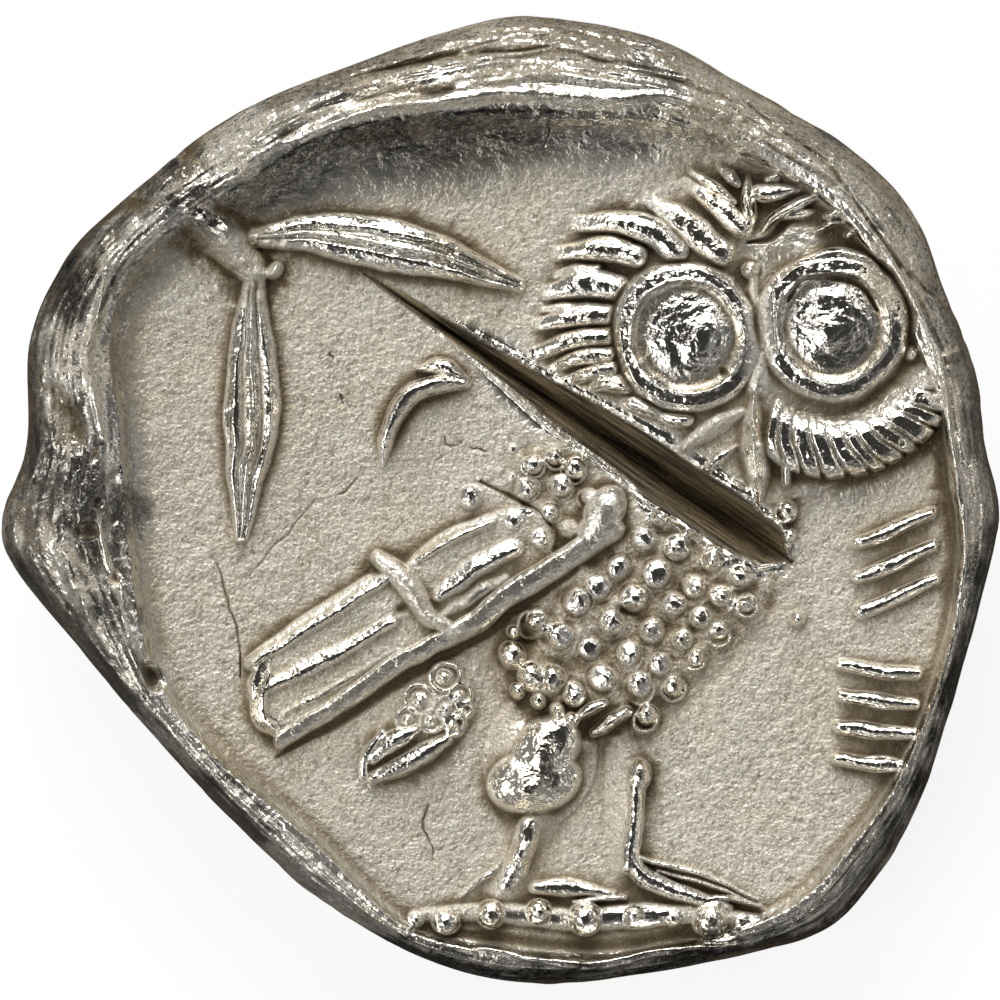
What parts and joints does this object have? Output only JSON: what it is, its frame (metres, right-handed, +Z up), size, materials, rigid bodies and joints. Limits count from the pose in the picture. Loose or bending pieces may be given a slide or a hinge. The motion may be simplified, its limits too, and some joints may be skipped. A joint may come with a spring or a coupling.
{
  "type": "tetradrachm coin",
  "caption": "Thick hand-struck silver coin, owl and olive spray in a sunk square, crossed by a deep test cut, worn helmeted head beneath.",
  "frame": {"origin": "middle of the coin's outline, at the height of the worn flat that it rests on", "axes": "+Z up through the coin's thickness towards the owl face, +Y towards the top of the owl face, +X to its right"},
  "size_m": [0.0248, 0.0242, 0.0052],
  "materials": {
    "silver": "worn struck silver, bright on the high points, warm grey with brown soil in the hollows"
  },
  "bodies": {
    "root": {"coin": "silver"}
  },
  "joints": []
}
